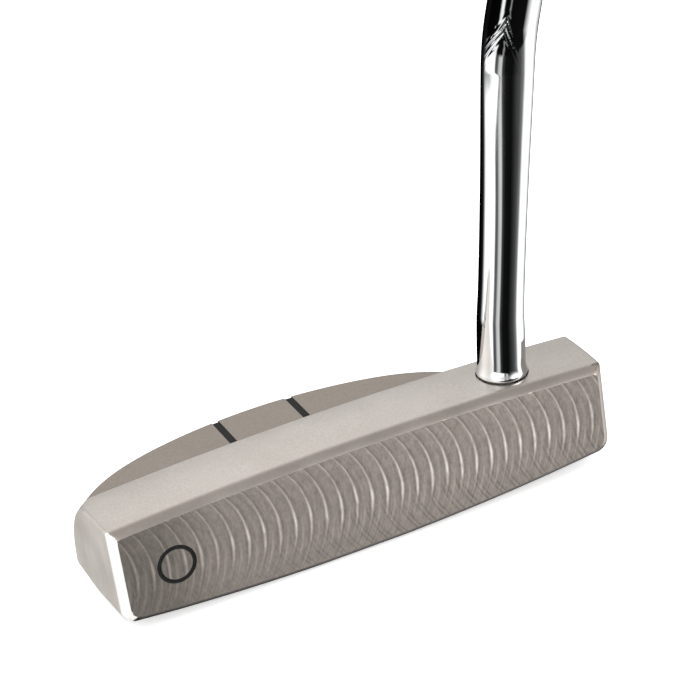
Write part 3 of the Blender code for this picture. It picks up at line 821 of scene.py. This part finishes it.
def milled_face():
    """The fly-cut face: painted highlights on the crescents and their faint echoes, painted shade on the
    crescents' flanks, and the cutter's darker return arcs.
    """
    n = Finish("milled_face")
    x, _, z = n.split(n.position())
    off = n.math("SUBTRACT", z, CUT_Z * MM)
    square = n.math("MULTIPLY", off, off)
    arc = n.math("SQRT", n.math("MAXIMUM", n.math("SUBTRACT", (CUT_RADIUS * MM) ** 2, square), 0.0))
    high = n.math("DIVIDE", z, FACE_HEIGHT * MM)
    wander = n.noise((330.0, 330.0, 330.0), 2.0)
    shift = n.math("MULTIPLY", n.math("SUBTRACT", wander, 0.5), ARC_WANDER * MM)

    def line(start, sign, wide):
        """1 on each arc of a family, falling to 0 at a half-width. sign is 1 for ) arcs and -1 for ( arcs."""
        bent = n.math("SUBTRACT", n.math("ADD", x, shift), n.math("MULTIPLY", arc, float(sign)))
        before_all = (start + (0.5 - 200.0) * CUT_PITCH) * MM
        turn = n.math("DIVIDE", n.math("SUBTRACT", bent, before_all), CUT_PITCH * MM)
        near = n.math("ABSOLUTE", n.math("SUBTRACT", n.math("FRACT", turn), 0.5))
        away = n.math("DIVIDE", near, n.math("DIVIDE", wide, CUT_PITCH))
        share = n.math("MAXIMUM", n.math("SUBTRACT", 1.0, away), 0.0)
        return n.math("SMOOTH_MIN", share, 1.0, 0.1)

    def streaks(sign):
        """Fine scratches that run along one family of arcs."""
        across = n.math("SUBTRACT", x, n.math("MULTIPLY", arc, float(sign)))
        inputs = {0: n.math("MULTIPLY", across, 1700.0), 1: float(sign), 2: n.math("MULTIPLY", z, 300.0)}
        spot = n.add("ShaderNodeCombineXYZ", inputs).outputs[0]
        return n.math("SUBTRACT", n.noise_at(spot, 2.0), 0.5)

    # Painted highlight along each crescent: widest and strongest at mid height, weaker towards the toe,
    # broken up by noise
    swell = n.math("MULTIPLY", n.ramp(high, CRESCENT_SWELL), 0.52)
    glow = n.ramp(high, CRESCENT_GLOW)
    along = n.span(x, -0.055, 0.0, 0.5, 1.0)
    broken = n.span(n.noise((700.0, 700.0, 260.0), 2.0, 0.4), 0.35, 0.6, 0.5, 1.1)
    painted_highlight = n.math("MULTIPLY", line(CRESCENT, 1, swell), glow)
    painted_highlight = n.math("MULTIPLY", painted_highlight, n.math("MULTIPLY", along, broken))
    painted_echo = n.math("ADD", line(ECHO, 1, 0.45), n.math("MULTIPLY", line(FAINT_ECHO, 1, 0.25), 0.5))
    painted_echo = n.math("MULTIPLY", painted_echo, n.ramp(high, ECHO_HEIGHT))
    returns = n.math("ADD", line(RETURN_ARC, -1, 0.42), n.math("MULTIPLY", line(SECOND_RETURN, -1, 0.4), 0.9))
    heelward = n.span(x, -0.03, 0.015, 0.3, 1.0)
    dark = n.math("MULTIPLY", n.math("MULTIPLY", returns, n.ramp(high, RETURN_HEIGHT)), heelward)
    # Painted shade on the flanks just before and after each crescent
    painted_flank_shade = n.math("MULTIPLY", n.math("ADD", line(FLANK_BEFORE, 1, 0.4), line(FLANK_AFTER, 1, 0.5)), glow)
    scratch_a = n.noise((500.0, 500.0, 4200.0), 3.0, 0.6)
    scratch_b = n.noise((4200.0, 500.0, 500.0), 3.0, 0.5)
    pebble = n.noise((1500.0, 1500.0, 1000.0), 3.0, 0.4)
    tone = FACE_TONE
    for mark, share in (
        (painted_highlight, PAINTED_HIGHLIGHT_SHARE),
        (painted_echo, ECHO_SHARE),
        (dark, DARK_SHARE),
        (painted_flank_shade, FLANK_SHADE_SHARE),
        (n.math("SUBTRACT", scratch_a, 0.5), SCRATCH_SHARE),
        (n.math("SUBTRACT", pebble, 0.5), PEBBLE_SHARE),
        (streaks(1), STREAK_SHARE),
        (n.math("MULTIPLY", streaks(-1), heelward), RETURN_STREAK_SHARE),
    ):
        tone = n.math("ADD", tone, n.math("MULTIPLY", mark, share))
    heelwards = n.span(x, -HALF_LENGTH * MM, HALF_LENGTH * MM, 0.0, 1.0)
    # The tone is scaled by painted light and shade along the face, darkest at the toe
    color = n.ramp(n.math("MULTIPLY", tone, n.ramp(heelwards, FACE_PAINTED_LIGHT)), FACE_COLOR)
    height = n.math("SUBTRACT", n.math("MULTIPLY", painted_highlight, 0.5), dark)
    normal = n.bump(height, 0.03 * MM, 0.6)
    normal = n.bump(n.math("ADD", scratch_a, scratch_b), 0.03 * MM, 0.4, normal)
    roughness = n.span(scratch_b, 0.3, 0.7, 0.44, 0.54)
    return n.set(color=color, metallic=0.8, roughness=roughness, normal=normal)


def chrome():
    """Chromium plate on a drawn tube: long waves and a fine grain along it."""
    n = Finish("shaft_chrome")
    wave = n.noise((60.0, 60.0, 14.0), 2.0)
    fine = n.noise((900.0, 900.0, 120.0), 2.0)
    color = n.ramp(fine, ((0.35, (0.86, 0.87, 0.885)), (0.65, (0.92, 0.93, 0.94))))
    roughness = n.span(fine, 0.35, 0.7, 0.03, 0.06)
    return n.set(color=color, metallic=1.0, roughness=roughness, normal=n.bump(wave, 0.6 * MM, 0.12))


def paint():
    n = Finish("black_paint")
    speck = n.noise((1500.0, 1500.0, 1500.0), 3.0)
    color = n.ramp(speck, ((0.35, (0.004, 0.004, 0.004)), (0.8, (0.012, 0.011, 0.01))))
    roughness = n.span(speck, 0.3, 0.7, 0.5, 0.7)
    n.shader.inputs["Specular IOR Level"].default_value = 0.22
    return n.set(color=color, metallic=0.0, roughness=roughness, normal=n.bump(speck, 0.04 * MM, 0.4))


def rubber():
    n = Finish("grip_rubber")
    pores = n.noise((1800.0, 1800.0, 1800.0), 4.0)
    cloud = n.noise((40.0, 40.0, 40.0), 2.0)
    color = n.ramp(cloud, ((0.3, (0.014, 0.014, 0.015)), (0.7, (0.026, 0.026, 0.028))))
    roughness = n.span(pores, 0.3, 0.7, 0.55, 0.72)
    return n.set(color=color, metallic=0.0, roughness=roughness, normal=n.bump(pores, 0.08 * MM, 0.5))


def tape():
    n = Finish("tape_cloth")
    weave = n.noise((2200.0, 2200.0, 300.0), 2.0)
    color = n.ramp(weave, ((0.3, (0.6, 0.55, 0.44)), (0.7, (0.76, 0.72, 0.62))))
    return n.set(color=color, metallic=0.0, roughness=0.85, normal=n.bump(weave, 0.05 * MM, 0.5))


def epoxy():
    n = Finish("epoxy")
    cloud = n.noise((700.0, 700.0, 700.0), 3.0)
    color = n.ramp(cloud, ((0.3, (0.2, 0.18, 0.15)), (0.7, (0.36, 0.33, 0.29))))
    return n.set(color=color, metallic=0.0, roughness=n.span(cloud, 0.3, 0.7, 0.25, 0.45))


def head_materials():
    """One for each of BAR, FACE, FLANGE_SHADE, TOE_END_LIGHT, TOE_BEVEL_HIGHLIGHT, CHAMFER_SHADE and SOLE_BEVEL_SHADE."""
    # Besides the bar's steel and the milled face, these are copies of the same steel toned as painted light
    # and shade
    drawn = (2400.0, 1500.0, 90.0)
    return (
        satin_steel("satin_steel", (0.42, 0.386, 0.353), (0.56, 0.524, 0.488)),
        milled_face(),
        # A darker copy of the steel: painted shade on the flange and the chamfer's heel corner
        satin_steel("flange_painted_shade", (0.25, 0.216, 0.187), (0.33, 0.29, 0.255), (0.36, 0.5)),
        # Lighter and half metallic: painted light on the toe end, with a real vertical brushed grain
        satin_steel("toe_steel_painted_light", (0.5, 0.465, 0.425), (0.62, 0.58, 0.54), (0.5, 0.6), 0.5, drawn),
        # Near white: painted highlight on the toe's bevel
        satin_steel("toe_bevel_painted_highlight", (0.74, 0.73, 0.71), (0.82, 0.81, 0.79), (0.3, 0.4), 0.25),
        # Browner: painted shade on the chamfer round the face
        satin_steel("chamfer_painted_shade", (0.46, 0.414, 0.373), (0.54, 0.49, 0.445)),
        # Near black: painted shade on the sole's bevel
        satin_steel("sole_bevel_painted_shade", (0.13, 0.115, 0.105), (0.18, 0.16, 0.145)),
    )


# ---------------------------------------------------------------- stage

CAMERA_PLACE = Vector((-165.6, -423.9, 289.2)) * MM
CAMERA_AIM = Vector((8.3, 9.7, 34.2)) * MM
CAMERA_ROLL = math.radians(7.63)
CAMERA_LENS, SENSOR = 132.6, 36.0

FLOOR_SIZE, FLOOR_DROP = 30.0, 0.02 * MM
FLOOR_GLOW = 0.45  # a light table, so shadows stay faint
AIR_STRENGTH = 1.6

# Brightness in reflections below the horizon, by share of a turn round the club
PANELS = (
    (0.0, 0.0),
    (0.185, 0.004),
    (0.21, 0.5),
    (0.235, 1.25),
    (0.37, 1.25),
    (0.385, 0.08),
    (0.41, 0.1),
    (0.428, 0.55),
    (0.455, 0.7),
    (0.47, 0.05),
    (0.5, 0.006),
    (0.57, 0.004),
    (0.6, 0.02),
    (0.65, 0.07),
    (0.69, 0.22),
    (0.72, 1.25),
    (0.84, 1.25),
    (0.87, 0.75),
    (0.9, 0.5),
    (0.92, 0.12),
    (0.96, 0.05),
    (1.0, 0.0),
)
# The same, steeply below it
LOW_PANELS = (
    (0.0, 0.0),
    (0.335, 0.002),
    (0.353, 1.0),
    (0.375, 1.0),
    (0.391, 0.003),
    (0.45, 0.003),
    (0.465, 0.3),
    (0.48, 0.003),
    (0.68, 0.005),
    (0.76, 1.25),
    (0.92, 1.25),
    (0.95, 0.1),
    (1.0, 0.0),
)
# The line between the two: its height, where round the club it starts to fall, how fast, and half its blur
PANEL_EDGE, PANEL_LEVEL, PANEL_SLANT, PANEL_BLUR = -0.33, 0.22, 0.8, 0.02
# The panels bend away as they rise: from which height, how fast and by how much at most. BEND_WHERE has how
# strongly, by share of a turn
BEND_FROM, BEND_RATE, BEND_MOST = -0.265, 4.5, 0.15
BEND_WHERE = ((0.1, 0.0), (0.2, 0.25), (0.26, 0.45), (0.4, 1.0), (0.5, 1.0), (0.66, 0.0))
# Soft boxes above the panels: degrees to the right of the camera, rise, tightness, strength
LAMPS = (
    (62.0, 2.0, 18.0, 6.0),
    (-95.0, 22.0, 8.0, 1.8),
    (-30.0, 28.0, 8.0, 2.2),
    (-165.0, 60.0, 5.0, 0.8),
    (-178.0, 33.0, 30.0, 0.64),
)
LAMP_EDGE = (-0.42, -0.12)  # the soft boxes' lower edge
CANOPY, CANOPY_EDGE = 0.4, (-0.2, 0.02)  # the tent's roof, and where the panels give way to it


def camera():
    data = bpy.data.cameras.new("camera")
    data.sensor_width = SENSOR
    data.lens = CAMERA_LENS
    data.clip_start = 0.01
    made = bpy.data.objects.new("camera", data)
    made.location = CAMERA_PLACE
    look = (CAMERA_AIM - CAMERA_PLACE).to_track_quat("-Z", "Y")
    made.rotation_mode = "QUATERNION"
    made.rotation_quaternion = look @ Quaternion((0.0, 0.0, 1.0), -CAMERA_ROLL)
    bpy.context.scene.collection.objects.link(made)
    bpy.context.scene.camera = made


def floor():
    """A plain pale sheet. Reflections see the studio through it, as if the club stood in a light tent."""
    bm = bmesh.new()
    bmesh.ops.create_grid(bm, x_segments=8, y_segments=8, size=FLOOR_SIZE)
    mesh = bpy.data.meshes.new("floor")
    bm.to_mesh(mesh)
    bm.free()
    made = bpy.data.objects.new("floor", mesh)
    made.location.z = -FLOOR_DROP
    bpy.context.scene.collection.objects.link(made)
    n = Finish("floor")
    cloud = n.noise((0.7, 0.7, 0.7), 2.0)
    n.set(color=n.ramp(cloud, ((0.3, 0.9), (0.7, 0.92))), roughness=0.9, metallic=0.0)
    n.shader.inputs["Emission Color"].default_value = (1.0, 1.0, 1.0, 1.0)
    n.shader.inputs["Emission Strength"].default_value = FLOOR_GLOW
    mesh.materials.append(n.material)
    made.visible_glossy = False


def studio():
    """The light tent: pale all round for the floor and the air, with dark and light panels in reflections."""
    world = bpy.data.worlds.new("studio")
    bpy.context.scene.world = world
    world.use_nodes = True
    n = Nodes(world.node_tree)
    n.tree.nodes.clear()
    away = Vector((CAMERA_AIM - CAMERA_PLACE).xy).normalized()
    turned = math.atan2(away.x, away.y)
    inputs = {"Vector": n.add("ShaderNodeTexCoord").outputs["Generated"], "Rotation": (0.0, 0.0, turned)}
    spun = n.add("ShaderNodeMapping", inputs).outputs["Vector"]
    right, back, up = n.split(spun)
    # Share of a turn round the club: 0 straight behind it, then its left, 0.5 towards the camera, its right
    azimuth = n.math("DIVIDE", n.math("ARCTAN2", right, n.math("MULTIPLY", back, -1.0)), 2.0 * math.pi)
    azimuth = n.math("ADD", azimuth, 0.5)
    rising = n.math("MULTIPLY", n.math("MAXIMUM", n.math("SUBTRACT", up, BEND_FROM), 0.0), BEND_RATE)
    rising = n.math("MINIMUM", rising, BEND_MOST)
    bent = n.math("SUBTRACT", azimuth, n.math("MULTIPLY", rising, n.ramp(azimuth, BEND_WHERE)))
    slant = n.math("MAXIMUM", n.math("SUBTRACT", azimuth, PANEL_LEVEL), 0.0)
    edge = n.math("ADD", up, n.math("MULTIPLY", slant, PANEL_SLANT))
    upper = n.span(edge, PANEL_EDGE - PANEL_BLUR, PANEL_EDGE + PANEL_BLUR, 0.0, 1.0)
    colors = {0: upper, 6: n.ramp(azimuth, LOW_PANELS), 7: n.ramp(bent, PANELS)}
    panels = n.add("ShaderNodeMix", colors, data_type="RGBA").outputs[2]
    colors = {0: n.span(up, *CANOPY_EDGE, 0.0, 1.0), 6: panels, 7: (CANOPY, CANOPY, CANOPY, 1.0)}
    unlit = n.add("ShaderNodeMix", colors, data_type="RGBA").outputs[2]
    glow = 0.0
    for turn, rise, tight, strength in LAMPS:
        turn, rise = math.radians(turn), math.radians(rise)
        aim = (math.sin(turn) * math.cos(rise), -math.cos(turn) * math.cos(rise), math.sin(rise))
        facing = n.add("ShaderNodeVectorMath", {0: spun, 1: aim}, operation="DOT_PRODUCT").outputs["Value"]
        lobe = n.math("POWER", n.math("MAXIMUM", facing, 0.0), tight)
        glow = n.math("ADD", n.math("MULTIPLY", lobe, strength), glow)
    lift = n.span(up, *LAMP_EDGE, 0.0, 1.0)
    glow = n.math("MULTIPLY", glow, n.math("MULTIPLY", lift, lift))
    lit = n.add("ShaderNodeVectorMath", {0: unlit, 1: glow}, operation="ADD").outputs["Vector"]
    glossy = n.add("ShaderNodeBackground", {"Color": lit, "Strength": 1.0}).outputs[0]
    white = {"Color": (1.0, 1.0, 1.0, 1.0), "Strength": AIR_STRENGTH}
    soft = n.add("ShaderNodeBackground", white).outputs[0]
    is_glossy = n.add("ShaderNodeLightPath").outputs["Is Glossy Ray"]
    shader = n.add("ShaderNodeMixShader", {0: is_glossy, 1: soft, 2: glossy}).outputs[0]
    n.add("ShaderNodeOutputWorld", {"Surface": shader})


# ---------------------------------------------------------------- assembly


def place(piece, node):
    """Puts a visible piece on the club in place of a CAD node."""
    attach(piece, "root")
    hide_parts(node)


def dress(node, material):
    """A CAD node that stays gets the procedural material."""
    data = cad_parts[node].data
    data.materials.clear()
    data.materials.append(material)


def main():
    bpy.context.scene.view_settings.view_transform = "Standard"
    camera()
    floor()
    studio()
    place(head(head_materials()), "putter_head")
    black = paint()
    for x, node in zip(SIGHT_LINE_X, ("sight_line_toe", "sight_line_heel")):
        place(sight_paint(x, node + "_paint", black), node)
    place(mark_paint(black), "face_mark")
    place(shaft(chrome()), "shaft")
    black_rubber = rubber()
    place(grip(black_rubber), "grip")
    place(grip_cap(black_rubber), "grip_cap")
    dress("epoxy_bond", epoxy())
    dress("grip_tape", tape())


main()
